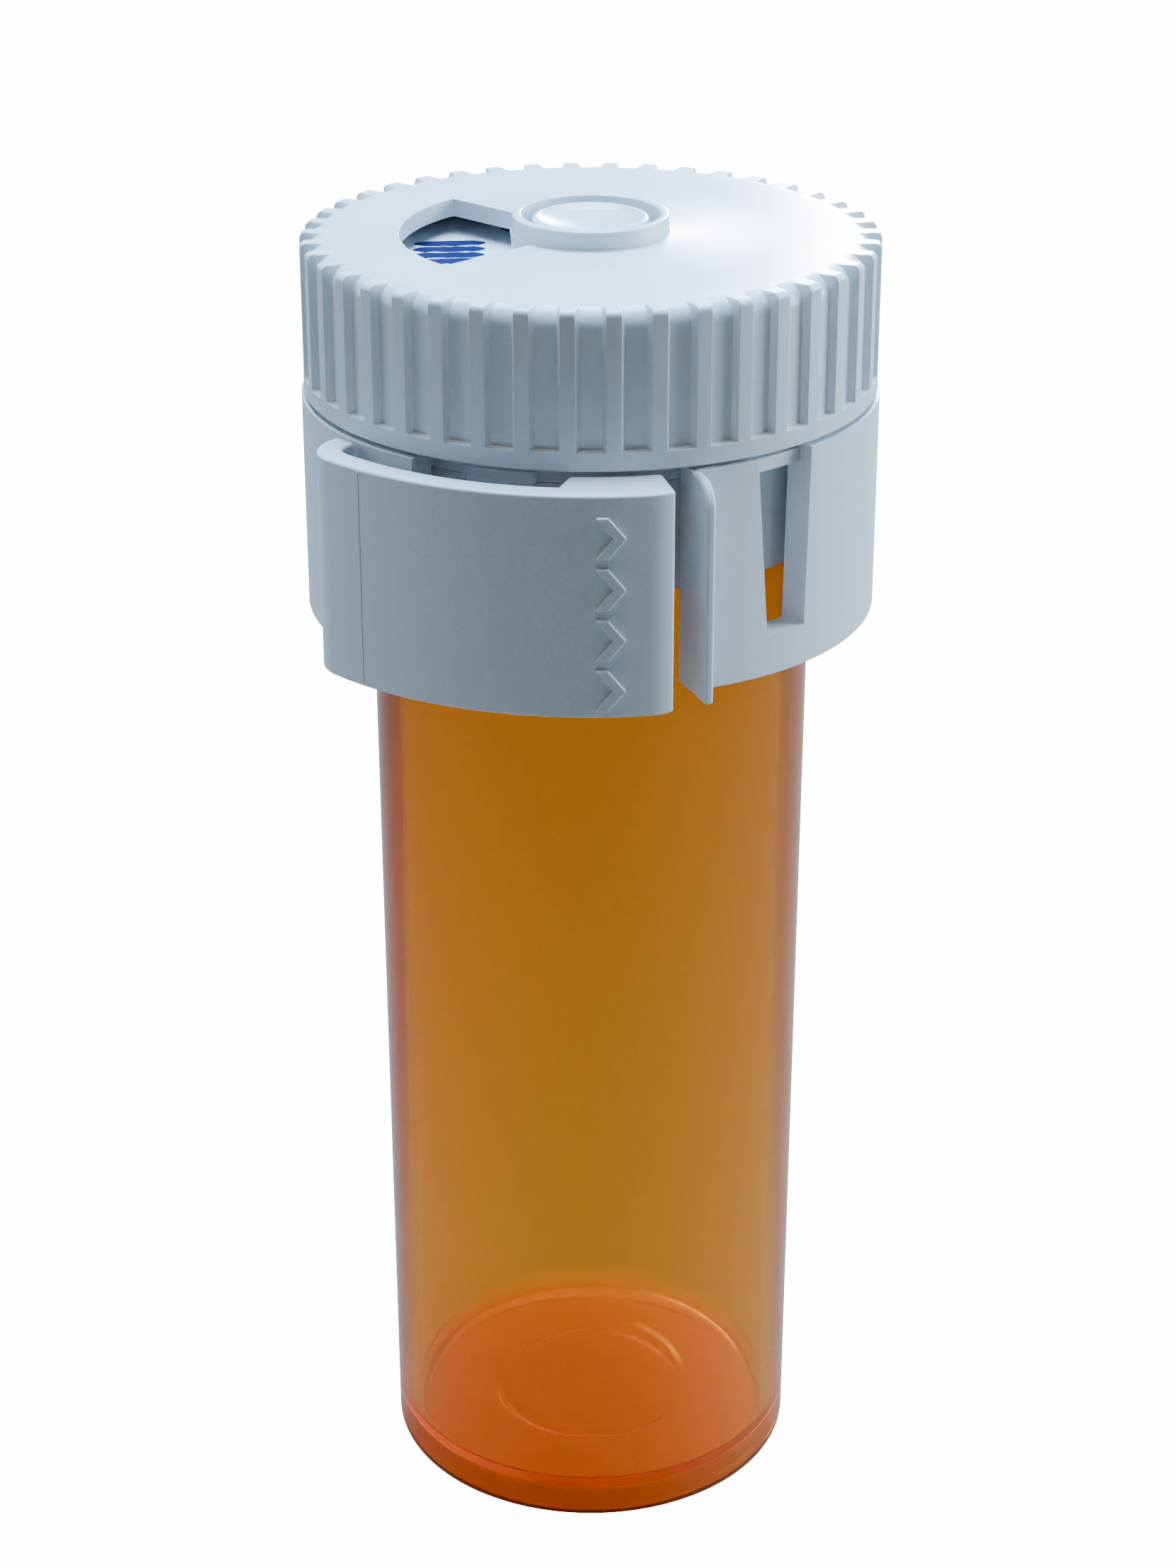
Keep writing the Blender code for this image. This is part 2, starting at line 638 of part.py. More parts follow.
def main():
    """Clear the scene and build every piece."""
    for obj in list(bpy.data.objects):
        bpy.data.objects.remove(obj, do_unlink=True)
    build_vial(material("amber_polypropylene", (0.42, 0.13, 0.016), 0.22))
    build_seal(material("seal_foam", (0.78, 0.77, 0.72), 0.8))
    build_collar(material("collar_polypropylene", (0.55, 0.60, 0.66), 0.42))
    build_skirt(material("skirt_polypropylene", (0.58, 0.63, 0.69), 0.38))
    build_lever(material("lever_polypropylene", (0.57, 0.62, 0.68), 0.38))
    build_disc(material("disc_polystyrene", (0.82, 0.82, 0.82), 0.45))
    build_dial(material("dial_polypropylene", (0.66, 0.72, 0.79), 0.34))
    build_stud(material("stud_polypropylene", (0.68, 0.74, 0.81), 0.32))
    build_clip(material("clip_acetal", (0.80, 0.80, 0.78), 0.35))
    build_spring(material("spring_acetal", (0.80, 0.80, 0.78), 0.35))


main()
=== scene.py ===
"""The visible pieces of an amber prescription vial with a push-lever closure and a day dial."""

import random
from math import cos, pi, radians, sin

import bmesh
import bpy
from bpy.props import FloatProperty, FloatVectorProperty, IntProperty, PointerProperty
from mathutils import Matrix, Vector


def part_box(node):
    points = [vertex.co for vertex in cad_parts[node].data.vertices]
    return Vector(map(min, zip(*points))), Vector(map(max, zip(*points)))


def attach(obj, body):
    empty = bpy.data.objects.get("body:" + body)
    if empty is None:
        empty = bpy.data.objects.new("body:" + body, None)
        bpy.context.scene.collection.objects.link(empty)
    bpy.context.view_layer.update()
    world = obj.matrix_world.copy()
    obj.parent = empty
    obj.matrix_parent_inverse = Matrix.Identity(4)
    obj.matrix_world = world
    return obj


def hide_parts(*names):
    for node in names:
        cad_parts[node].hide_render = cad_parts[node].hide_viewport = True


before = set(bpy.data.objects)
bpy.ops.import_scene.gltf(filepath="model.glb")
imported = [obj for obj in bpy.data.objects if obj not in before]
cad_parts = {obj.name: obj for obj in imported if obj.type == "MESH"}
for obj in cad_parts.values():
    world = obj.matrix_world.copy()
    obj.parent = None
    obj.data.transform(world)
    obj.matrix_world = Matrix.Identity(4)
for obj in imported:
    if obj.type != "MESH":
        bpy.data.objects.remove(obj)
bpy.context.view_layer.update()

bl_info = {
    "name": "Prescription vial",
    "version": (1, 0, 0),
    "blender": (4, 5, 0),
    "location": "3D View > Sidebar > Vial",
    "description": "Builds an amber vial with a push-lever closure and a ribbed day dial",
    "category": "Add Mesh",
}

MM = 0.001
FIT_GAP = 0.30 * MM

_, VIAL_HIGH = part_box("vial_body")
_, SEAL_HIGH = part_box("seal_ring")
COLLAR_LOW, COLLAR_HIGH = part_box("bayonet_collar")
SKIRT_LOW, SKIRT_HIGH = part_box("closure_skirt")
DISC_LOW, DISC_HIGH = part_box("day_disc")
DIAL_LOW, DIAL_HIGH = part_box("day_dial")
STUD_LOW, STUD_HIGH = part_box("pivot_stud")

VIAL_HEIGHT = VIAL_HIGH[2]
VIAL_RADIUS = SEAL_HIGH[0]
COLLAR_OUTER = COLLAR_HIGH[0]
COLLAR_INNER = VIAL_RADIUS + 0.35 * MM
SKIRT_INNER = COLLAR_OUTER + 1.2 * MM
DRUM_OUTER = COLLAR_OUTER + FIT_GAP
DIAL_OUTER = DIAL_HIGH[0]
SKIRT_BOTTOM = SKIRT_LOW[2]
CEILING_TOP = SKIRT_HIGH[2]
DIAL_BOTTOM = DIAL_LOW[2]
DIAL_TOP = DIAL_HIGH[2]
SKIRT_TOP = DIAL_BOTTOM - FIT_GAP
FLANGE_TOP = SKIRT_TOP - FIT_GAP

# Angles round the axis, in degrees from the front towards +X
SKIRT_START, SKIRT_END = 19.0, 324.5
SLOT_FOOT = (35.9, 45.6)
SLOT_HEAD = (33.0, 46.5)
SLOT_REACH = (28.0, 52.0)
FIN_ANGLE = 19.9
BLOCK_START, BLOCK_END = -28.0, -11.3
LEVER_ROOT, LEVER_TIP = -46.5, 13.4
BEVEL_START = 10.9
PAD_START = -4.0
PAD_RAMP = 1.5
SEAM_START, SEAM_END = -39.8, -39.4
MARK_ANGLE = 3.1
LUG_PHASE = 75.0
LUG_HALF = 5.5
WINDOW_HALF_ANGLE = 42.5

# Counts
LUGS = 4
MARKS = 4
DAYS = 7
STEPS_PER_RIB = 12

# Moulding and print details
RIM_ROUND = 0.4 * MM
INK_SINK = 0.02 * MM
INK_RISE = 0.03 * MM
SHANK = 2.4 * MM
SHANK_HOLE = SHANK + FIT_GAP
CEILING = 1.5 * MM
FLANGE = 1.2 * MM
BLOCK_THICKNESS = 0.95 * MM
BLOCK_DEPTH = 4.0 * MM


def hex_colour(text):
    """An sRGB hex colour as linear red, green, blue and alpha."""
    channels = [int(text[i : i + 2], 16) / 255.0 for i in (1, 3, 5)]
    return (*[c / 12.92 if c <= 0.04045 else ((c + 0.055) / 1.055) ** 2.4 for c in channels], 1.0)


def length(name, description, default):
    """A property for a size in metres."""
    return FloatProperty(name=name, description=description, default=default, min=0.0, unit="LENGTH")


def colour(name, description, text):
    """A property for a colour."""
    return FloatVectorProperty(
        name=name,
        description=description,
        default=hex_colour(text)[:3],
        size=3,
        min=0.0,
        max=1.0,
        subtype="COLOR",
    )


class VialSizes(bpy.types.PropertyGroup):
    """Sizes of the vial"""

    wall: length("Wall", "Thickness of the vial's wall", 1.3 * MM)
    draft: length("Draft", "How much narrower the vial is at its foot", 0.55 * MM)
    foot_corner: length("Foot corner", "Radius of the corner at the foot", 1.1 * MM)
    recess: length("Base recess", "How far the base is set up inside the foot ring", 1.9 * MM)
    floor: length("Floor", "Thickness of the vial's floor", 1.55 * MM)
    gate_radius: length("Gate mark", "Radius of the round step in the floor", 8.7 * MM)
    gate_rise: length("Gate rise", "Height of the round step in the floor", 0.2 * MM)
    lug_rise: length("Lug rise", "Height of the lugs over the collar's bottom", 3.9 * MM)
    lug_height: length("Lug height", "Height of each bayonet lug", 2.8 * MM)


class ClosureSizes(bpy.types.PropertyGroup):
    """Sizes of the closure's skirt and lever"""

    skirt_wall: length("Skirt wall", "Thickness of the skirt", 2.4 * MM)
    edge: length("Eased edge", "Width of the rounding on moulded edges", 0.28 * MM)
    slot_ledge: length("Slot ledge", "Height of the finger slot's floor over the skirt's bottom", 3.4 * MM)
    fin_reach: length("Fin reach", "How far the fin stands out from the skirt", 3.3 * MM)
    fin_thickness: length("Fin thickness", "Thickness of the fin", 0.8 * MM)
    lever_leaf: length("Lever leaf", "Thickness of the lever's leaf", 2.1 * MM)
    lever_room: length("Lever room", "Space between the skirt's outside and the lever", 2.3 * MM)
    pad: length("Lever pad", "Extra thickness at the lever's free end", 2.6 * MM)
    curl: length("Root curl", "Outer radius of the lever's curled root", 3.6 * MM)
    mark_rise: length("Mark rise", "How far the lever's marks stand out", 0.4 * MM)
    mark_height: length("Mark height", "Height of each mark", 3.4 * MM)
    mark_width: length("Mark width", "Width of each mark", 2.4 * MM)
    mark_arm: length("Mark arm", "Width of a mark's arm, along the lever", 1.0 * MM)
    mark_pitch: length("Mark pitch", "Distance from mark to mark", 4.2 * MM)


class DialSizes(bpy.types.PropertyGroup):
    """Sizes of the day dial"""

    ribs: IntProperty(name="Ribs", description="Number of ribs round the dial", default=42, min=12, max=80)
    groove: length("Groove depth", "Depth of the grooves between the ribs", 0.65 * MM)
    plate: length("Plate", "Thickness of the dial's top", 1.5 * MM)
    wall: length("Wall", "Thickness of the dial's side, ribs included", 1.8 * MM)
    shoulder: length("Groove shoulder", "Radius of the scoop where a groove runs out at the top", 1.7 * MM)
    rib_corner: length("Rib corner", "Radius of each rib's upper corner", 0.55 * MM)
    rib_share: FloatProperty(
        name="Rib share", description="Part of the pitch that is rib", default=0.34, min=0.1, max=0.8
    )
    band: length("Band", "Height of the plain band below the ribs", 1.5 * MM)
    window_rim: length("Window rim", "Distance from the dial's side to its window", 8.2 * MM)
    boss_radius: length("Boss radius", "Outer radius of the boss", 6.5 * MM)
    boss_wall: length("Boss wall", "Thickness of the boss's wall", 0.75 * MM)
    boss_drop: length("Boss drop", "Depth of the boss under the dial's plate", 1.1 * MM)
    boss_rise: length("Boss rise", "Height of the boss over the dial's top", 1.55 * MM)


class VialColours(bpy.types.PropertyGroup):
    """Colours of the vial, closure and print"""

    amber: colour("Amber", "Colour that the vial's plastic lets through", "#FDEA00")
    white: colour("White", "Colour of the closure's plastic", "#DDE4E9")
    seal: colour("Seal", "Colour of the sealing ring", "#DEDCD4")
    disc: colour("Disc", "Colour of the day disc", "#DDE3E8")
    ink: colour("Ink", "Colour of the print on the day disc", "#03104A")
    floor: colour("Floor", "Colour of the studio floor", "#FFFFFF")


# Shapes


def polar(radius, angle):
    """The point at a radius and an angle in degrees from the front, -Y, towards +X."""
    return Vector((radius * sin(radians(angle)), -radius * cos(radians(angle))))


def arc(radius, start, end, step=1.5):
    """Points along an arc round the axis, both ends included."""
    count = max(1, round(abs(end - start) / step))
    return [polar(radius, start + (end - start) * i / count) for i in range(count + 1)]


def corner(radius, height, size, start, end, steps=5):
    """Profile points round a corner centred at a radius and a height."""
    turn = [radians(start + (end - start) * i / steps) for i in range(steps + 1)]
    return [(radius + size * cos(a), height + size * sin(a)) for a in turn]


def spun(profile, steps, closed=True):
    """Spin a (radius, height) profile a full turn into a bmesh."""
    bm = bmesh.new()
    verts = [bm.verts.new((r, 0.0, z)) for r, z in profile]
    edges = [bm.edges.new(pair) for pair in zip(verts, verts[1:])]
    if closed:
        edges.append(bm.edges.new((verts[-1], verts[0])))
    bmesh.ops.spin(
        bm, geom=verts + edges, cent=(0, 0, 0), axis=(0, 0, 1), angle=2 * pi, steps=steps, use_merge=True
    )
    bmesh.ops.remove_doubles(bm, verts=bm.verts, dist=0.002 * MM)
    bmesh.ops.recalc_face_normals(bm, faces=bm.faces)
    return bm


def raised(outline, bottom, top, bm=None):
    """Extrude a flat outline straight up into a closed solid."""
    bm = bm or bmesh.new()
    base = bm.faces.new([bm.verts.new((*p, bottom)) for p in outline])
    grown = bmesh.ops.extrude_face_region(bm, geom=[base], use_keep_orig=True)["geom"]
    lifted = [v for v in grown if isinstance(v, bmesh.types.BMVert)]
    bmesh.ops.translate(bm, verts=lifted, vec=(0, 0, top - bottom))
    bmesh.ops.recalc_face_normals(bm, faces=bm.faces)
    return bm


def sector(inner, outer, start, end, bottom, top):
    """A curved block between two radii, two angles and two heights."""
    return raised(arc(outer, start, end) + arc(inner, end, start), bottom, top)


def piece(name, bm, finish, body, nodes=(), sharp=35.0):
    """Turn a bmesh into a finished piece that rides on a body and stands for its CAD nodes."""
    mesh = bpy.data.meshes.new(name)
    bm.to_mesh(mesh)
    bm.free()
    mesh.shade_smooth()
    mesh.set_sharp_from_angle(angle=radians(sharp))
    mesh.materials.append(finish)
    obj = bpy.data.objects.new(name, mesh)
    bpy.context.scene.collection.objects.link(obj)
    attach(obj, body)
    if nodes:
        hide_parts(*nodes)
    return obj


def ease(obj, width, segments=3, angle=35.0):
    """Round a piece's sharp edges as a mould does."""
    step = obj.modifiers.new("eased edges", "BEVEL")
    step.width = width
    step.segments = segments
    step.limit_method = "ANGLE"
    step.angle_limit = radians(angle)
    step.harden_normals = True


# Materials


def add_node(tree, kind, inputs=None, **settings):
    """Add a node with its settings; an input is a value or another node's output."""
    node = tree.nodes.new(kind)
    for key, value in settings.items():
        setattr(node, key, value)
    for key, value in (inputs or {}).items():
        if isinstance(value, bpy.types.NodeSocket):
            tree.links.new(value, node.inputs[key])
        else:
            node.inputs[key].default_value = value
    return node


def new_material(name):
    """An empty node material and its tree."""
    finish = bpy.data.materials.new(name)
    finish.use_nodes = True
    finish.node_tree.nodes.clear()
    return finish, finish.node_tree


def moulded_plastic(name, base, roughness, grain_mm, depth_mm, subsurface=0.0, shade=0.04):
    """Injection-moulded plastic: satin skin, faint flow marks and a fine waviness from the tool."""
    finish, tree = new_material(name)
    place = add_node(tree, "ShaderNodeTexCoord").outputs["Object"]
    flow = add_node(
        tree, "ShaderNodeTexNoise", {"Vector": place, "Scale": 1 / (9 * MM), "Detail": 4.0, "Roughness": 0.55}
    )
    grain = add_node(
        tree, "ShaderNodeTexNoise", {"Vector": place, "Scale": 1 / (grain_mm * MM), "Detail": 3.0}
    )
    darker = tuple(c * (1 - shade) for c in base[:3]) + (1.0,)
    tint = add_node(
        tree,
        "ShaderNodeMix",
        {"Factor": flow.outputs["Fac"], "A": base, "B": darker},
        data_type="RGBA",
    )
    sheen = add_node(
        tree,
        "ShaderNodeMapRange",
        {
            "Value": flow.outputs["Fac"],
            "From Min": 0.3,
            "From Max": 0.7,
            "To Min": roughness * 0.9,
            "To Max": roughness * 1.12,
        },
    )
    bump = add_node(
        tree,
        "ShaderNodeBump",
        {"Height": grain.outputs["Fac"], "Distance": depth_mm * MM, "Strength": 0.35},
    )
    shader = add_node(
        tree,
        "ShaderNodeBsdfPrincipled",
        {
            "Base Color": tint.outputs["Result"],
            "Roughness": sheen.outputs["Result"],
            "Normal": bump.outputs["Normal"],
            "IOR": 1.49,
            "Subsurface Weight": subsurface,
            "Subsurface Scale": 1.2 * MM,
        },
    )
    shader.inputs["Subsurface Radius"].default_value = (1.0, 0.9, 0.8)
    add_node(tree, "ShaderNodeOutputMaterial", {"Surface": shader.outputs["BSDF"]})
    return finish


def amber_material(name, tint):
    """Clear amber polypropylene, injection moulded: deeper and redder the more of it the light crosses."""
    finish, tree = new_material(name)
    place = add_node(tree, "ShaderNodeTexCoord").outputs["Object"]
    stretch = add_node(tree, "ShaderNodeMapping", {"Vector": place, "Scale": (1.0, 1.0, 0.12)})
    flow = add_node(
        tree,
        "ShaderNodeTexNoise",
        {"Vector": stretch.outputs["Vector"], "Scale": 1 / (9 * MM), "Detail": 3.0, "Roughness": 0.5},
    )
    height = add_node(tree, "ShaderNodeSeparateXYZ", {"Vector": place}).outputs["Z"]
    # Painted shade: the wall's colour darkens from the foot up towards the closure, standing in for the shade
    # that the closure casts on it
    painted_shade_upward = add_node(tree, "ShaderNodeMapRange", {"Value": height, "From Min": 10 * MM, "From Max": 80 * MM})
    wall = add_node(
        tree,
        "ShaderNodeMix",
        {"Factor": painted_shade_upward.outputs["Result"], "A": hex_colour("#F8D898"), "B": hex_colour("#E8BC74")},
        data_type="RGBA",
    )
    haze = add_node(
        tree,
        "ShaderNodeMapRange",
        {"Value": flow.outputs["Fac"], "From Min": 0.3, "From Max": 0.7, "To Min": 0.06, "To Max": 0.10},
    )
    bump = add_node(
        tree, "ShaderNodeBump", {"Height": flow.outputs["Fac"], "Distance": 0.04 * MM, "Strength": 0.15}
    )
    shader = add_node(
        tree,
        "ShaderNodeBsdfPrincipled",
        {
            "Base Color": wall.outputs["Result"],
            "Roughness": haze.outputs["Result"],
            "Normal": bump.outputs["Normal"],
            "IOR": 1.2,
            "Transmission Weight": 0.92,
            "Specular IOR Level": 0.1,
            "Specular Tint": hex_colour("#F0A860"),
        },
    )
    passing = add_node(tree, "ShaderNodeBsdfTransparent", {"Color": hex_colour("#F1CE7C")})
    ray = add_node(tree, "ShaderNodeLightPath")
    both = add_node(tree, "ShaderNodeMixShader", {"Fac": ray.outputs["Is Shadow Ray"]})
    tree.links.new(shader.outputs["BSDF"], both.inputs[1])
    tree.links.new(passing.outputs["BSDF"], both.inputs[2])
    depth = add_node(tree, "ShaderNodeVolumeAbsorption", {"Color": tint, "Density": 700.0})
    add_node(
        tree,
        "ShaderNodeOutputMaterial",
        {"Surface": both.outputs["Shader"], "Volume": depth.outputs["Volume"]},
    )
    return finish


def ink_material(name, ink, paper):
    """Pad-printed ink laid on in dry strokes: streaks of the disc's white show through along each stroke."""
    finish, tree = new_material(name)
    place = add_node(tree, "ShaderNodeTexCoord").outputs["Object"]
    stretch = add_node(tree, "ShaderNodeMapping", {"Vector": place, "Scale": (0.22, 1.0, 1.0)})
    streak = add_node(
        tree,
        "ShaderNodeTexNoise",
        {"Vector": stretch.outputs["Vector"], "Scale": 1 / (0.9 * MM), "Detail": 3.0, "Roughness": 0.6},
    )
    cover = add_node(
        tree,
        "ShaderNodeMapRange",
        {"Value": streak.outputs["Fac"], "From Min": 0.20, "From Max": 0.30, "To Min": 0.0, "To Max": 1.0},
    )
    tint = add_node(
        tree, "ShaderNodeMix", {"Factor": cover.outputs["Result"], "A": paper, "B": ink}, data_type="RGBA"
    )
    shader = add_node(
        tree,
        "ShaderNodeBsdfPrincipled",
        {"Base Color": tint.outputs["Result"], "Roughness": 0.6, "Specular IOR Level": 0.1},
    )
    add_node(tree, "ShaderNodeOutputMaterial", {"Surface": shader.outputs["BSDF"]})
    return finish


def rgba(prop):
    """A colour property as four numbers."""
    return (*prop, 1.0)


def finish_named(name):
    """The material of that name, made the first time it is asked for."""
    if name in bpy.data.materials:
        return bpy.data.materials[name]
    colours = bpy.context.scene.vial_colours
    if name == "clear_amber_polypropylene":
        return amber_material(name, rgba(colours.amber))
    if name == "pad_printed_ink":
        return ink_material(name, rgba(colours.ink), rgba(colours.disc))
    makers = {
        # A copolymer with a satin skin: soft edges to its shadows, no mirror reflections
        "satin_white_polypropylene": (colours.white, 0.34, 0.5, 0.02, 0.03),
        # The same plastic from a smoother tool, so the top has a silky gloss
        "silky_white_polypropylene": (colours.white, 0.24, 0.8, 0.015, 0.03),
        # Pressed polyethylene foam: matt, with a fine open grain
        "pressed_seal_foam": (colours.seal, 0.85, 0.35, 0.08, 0.0),
        # High-impact polystyrene sheet: white, even, faintly glossy
        "white_polystyrene": (colours.disc, 0.40, 0.4, 0.01, 0.0),
        # Unpigmented acetal: milky white and slightly waxy
        "natural_acetal": (hex_colour("#E6E3DA")[:3], 0.35, 0.6, 0.01, 0.2),
    }
    base, roughness, grain_mm, depth_mm, subsurface = makers[name]
    return moulded_plastic(name, rgba(base), roughness, grain_mm, depth_mm, subsurface)


class VIAL_OT_body(bpy.types.Operator):
    """Build the amber vial with its foot, recessed base, rim and bayonet lugs"""

    bl_idname = "vial.body"
    bl_label = "Vial body"

    def execute(self, context):
        sizes = context.scene.vial_sizes
        foot = VIAL_RADIUS - sizes.draft
        inside = foot - sizes.wall
        floor = sizes.recess + sizes.floor
        land = foot - sizes.foot_corner - 0.7 * MM
        rim = VIAL_HEIGHT - RIM_ROUND
        fillet = sizes.wall / 2
        gate = sizes.gate_radius
        ring = 0.5 * MM
        sink = 0.2 * MM
        ramp = 0.3 * MM
        bend = 0.5 * MM
        # Rows a ramp's width beside each step keep the flats flat in the shading
        profile = [
            (0.0, sizes.recess),
            (gate - ring - 2 * ramp, sizes.recess),
            (gate - ring - ramp, sizes.recess),
            (gate - ring, sizes.recess - sink),
            (gate, sizes.recess - sink),
            (gate + ramp, sizes.recess),
            (gate + 2 * ramp, sizes.recess),
            (land - 2 * bend - ramp, sizes.recess),
            *corner(land - 2 * bend, sizes.recess - bend, bend, 90, 20, 3),
            *corner(land, RIM_ROUND, RIM_ROUND, 190, 270, 3),
            *corner(foot - sizes.foot_corner, sizes.foot_corner, sizes.foot_corner, -90, 0, 8),
            *corner(VIAL_RADIUS - RIM_ROUND, rim, RIM_ROUND, 0, 90, 4),
            *corner(VIAL_RADIUS - sizes.wall + RIM_ROUND, rim, RIM_ROUND, 90, 180, 4),
            *corner(inside - fillet, floor + fillet, fillet, 0, -90, 5),
            (inside - fillet - ramp, floor),
            (gate + sink + ramp, floor),
            (gate + sink, floor),
            (gate + sink - ramp, floor + sizes.gate_rise),
            (gate + sink - 2 * ramp, floor + sizes.gate_rise),
            (0.0, floor + sizes.gate_rise),
        ]
        amber = finish_named("clear_amber_polypropylene")
        body = spun(profile, 160, closed=False)
        piece("amber_vial", body, amber, "vial", ["vial_body"])
        low = COLLAR_LOW[2] + sizes.lug_rise
        high = low + sizes.lug_height
        inner, outer = VIAL_RADIUS - 0.2 * MM, COLLAR_OUTER - FIT_GAP
        for i in range(LUGS):
            middle = LUG_PHASE + 360.0 / LUGS * i
            lug = sector(inner, outer, middle - LUG_HALF, middle + LUG_HALF, low, high)
            obj = piece(f"bayonet_lug_{i + 1}", lug, amber, "vial", ["vial_body"])
            ease(obj, 0.3 * MM)
        return {"FINISHED"}


class VIAL_OT_drum(bpy.types.Operator):
    """Build the closure's inner drum with its ceiling, flange and the block behind the lever"""

    bl_idname = "vial.drum"
    bl_label = "Closure drum"

    def execute(self, context):
        white = finish_named("satin_white_polypropylene")
        ceiling = CEILING_TOP - CEILING
        low = FLANGE_TOP - FLANGE
        foot = low - 0.2 * MM
        profile = [
            (SHANK_HOLE, ceiling),
            (COLLAR_INNER, ceiling),
            (COLLAR_INNER, foot),
            (DRUM_OUTER, foot),
            (DRUM_OUTER, CEILING_TOP),
            (SHANK_HOLE, CEILING_TOP),
        ]
        drum = piece(
            "closure_drum", spun(profile, 144), white, "closure", ["closure_skirt"]
        )
        ease(drum, 0.25 * MM)
        root = DRUM_OUTER - 0.5 * MM
        flange = SKIRT_INNER + context.scene.closure_sizes.skirt_wall / 2
        block = DRUM_OUTER + BLOCK_THICKNESS
        margin = 0.8
        blocks = {
            "closure_flange": (0.15, root, flange, SKIRT_START + margin, SKIRT_END - margin, low, FLANGE_TOP),
            "closure_block_top": (0.2, root, block, BLOCK_START, BLOCK_END, low, FLANGE_TOP - 0.2 * MM),
            "closure_block": (
                0.2,
                DRUM_OUTER + 0.1 * MM,
                SKIRT_INNER,
                BLOCK_START + 1.0,
                BLOCK_END - 1.0,
                low - BLOCK_DEPTH,
                low + 0.4 * MM,
            ),
        }
        for name, (edge_mm, *extents) in blocks.items():
            obj = piece(name, sector(*extents), white, "closure", ["closure_skirt"])
            ease(obj, edge_mm * MM)
        return {"FINISHED"}


class VIAL_OT_skirt(bpy.types.Operator):
    """Build the closure's outer skirt with its finger slot and end fin"""

    bl_idname = "vial.skirt"
    bl_label = "Skirt"

    def execute(self, context):
        sizes = context.scene.closure_sizes
        white = finish_named("satin_white_polypropylene")
        outer = SKIRT_INNER + sizes.skirt_wall
        ledge = SKIRT_BOTTOM + sizes.slot_ledge
        bm = self.wall_sheet(outer, ledge)
        bmesh.ops.solidify(bm, geom=bm.faces[:], thickness=sizes.skirt_wall)
        bmesh.ops.recalc_face_normals(bm, faces=bm.faces)
        obj = piece("skirt_wall", bm, white, "closure", ["closure_skirt"])
        ease(obj, sizes.edge)
        fin = self.fin(outer, sizes)
        obj = piece("skirt_fin", fin, white, "closure", ["closure_skirt"])
        ease(obj, sizes.edge)
        return {"FINISHED"}

    def wall_sheet(self, outer, ledge):
        """The skirt's outer face: a flat strip with the tapered slot cut out, then rolled up."""
        bm = bmesh.new()
        bmesh.ops.create_grid(bm, x_segments=200, y_segments=6, size=0.5)
        for v in bm.verts:
            angle = SKIRT_START + (SKIRT_END - SKIRT_START) * (v.co.x + 0.5)
            height = SKIRT_BOTTOM + (SKIRT_TOP - SKIRT_BOTTOM) * (v.co.y + 0.5)
            v.co = (angle, height / MM, 0.0)
        low = ledge / MM
        high = SKIRT_TOP / MM
        everything = bm.verts[:] + bm.edges[:] + bm.faces[:]
        bmesh.ops.bisect_plane(bm, geom=everything, plane_co=(0, low, 0), plane_no=(0, 1, 0))
        for foot, head in zip(SLOT_FOOT, SLOT_HEAD):
            normal = Vector((high - low, foot - head, 0.0)).normalized()
            columns = [(f, f.calc_center_median().x) for f in bm.faces]
            near = [f for f, x in columns if SLOT_REACH[0] < x < SLOT_REACH[1]]
            geom = dict.fromkeys(part for f in near for part in (f, *f.edges, *f.verts))
            bmesh.ops.bisect_plane(bm, geom=list(geom), plane_co=(foot, low, 0), plane_no=normal)

        def in_slot(face):
            centre = face.calc_center_median()
            share = (centre.y - low) / (high - low)
            left, right = (foot + (head - foot) * share for foot, head in zip(SLOT_FOOT, SLOT_HEAD))
            return share > 0 and left < centre.x < right

        gone = [f for f in bm.faces if in_slot(f)]
        bmesh.ops.delete(bm, geom=gone, context="FACES")
        bmesh.ops.remove_doubles(bm, verts=bm.verts, dist=0.01)
        for v in bm.verts:
            v.co = (*polar(outer, v.co.x), v.co.y * MM)
        bmesh.ops.recalc_face_normals(bm, faces=bm.faces)
        middle = bm.faces[:][len(bm.faces) // 2]
        if middle.normal.dot(middle.calc_center_median() * Vector((1, 1, 0))) < 0:
            bmesh.ops.reverse_faces(bm, faces=bm.faces)
        return bm

    def fin(self, outer, sizes):
        """A thin radial web with a rounded upper corner."""
        reach = outer + sizes.fin_reach
        inner = SKIRT_INNER + 0.6 * MM
        bend = 2.2 * MM
        outline = [
            (inner, SKIRT_BOTTOM),
            (reach, SKIRT_BOTTOM),
            *corner(reach - bend, SKIRT_TOP - bend, bend, 0, 90, 8),
            (inner, SKIRT_TOP),
        ]
        bm = raised([Vector(p) for p in outline], -sizes.fin_thickness / 2, sizes.fin_thickness / 2)
        stand = Matrix.Rotation(radians(FIN_ANGLE) - pi / 2, 4, "Z") @ Matrix.Rotation(pi / 2, 4, "X")
        bmesh.ops.transform(bm, matrix=stand, verts=bm.verts)
        bmesh.ops.recalc_face_normals(bm, faces=bm.faces)
        return bm


